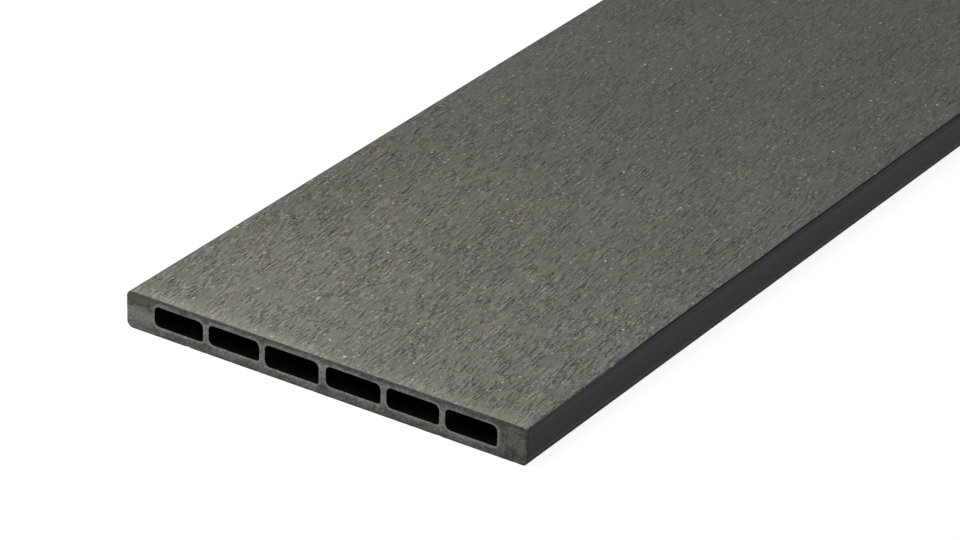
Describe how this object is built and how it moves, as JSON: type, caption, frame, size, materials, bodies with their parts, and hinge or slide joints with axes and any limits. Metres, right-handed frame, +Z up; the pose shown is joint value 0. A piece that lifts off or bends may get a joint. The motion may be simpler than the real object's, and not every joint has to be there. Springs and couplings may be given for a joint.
{
  "type": "composite fence board",
  "caption": "Hollow extruded wood-plastic plank for fences, with a brushed show face, smooth long edges and open cells through its length.",
  "frame": {"origin": "middle of the back face, which lies on the floor: halfway across the width and halfway along the length", "axes": "+X across the width, +Y along the length away from the cut end that the picture shows, +Z up through the thickness, out of the show face"},
  "size_m": [0.2, 1.8, 0.0175],
  "materials": {
    "composite": "dark grey wood-plastic composite: brushed lengthwise on the show face and the back, smooth off the die on the long edges and in the cells, sawn at the ends"
  },
  "bodies": {
    "root": {"board": "composite"}
  },
  "joints": []
}
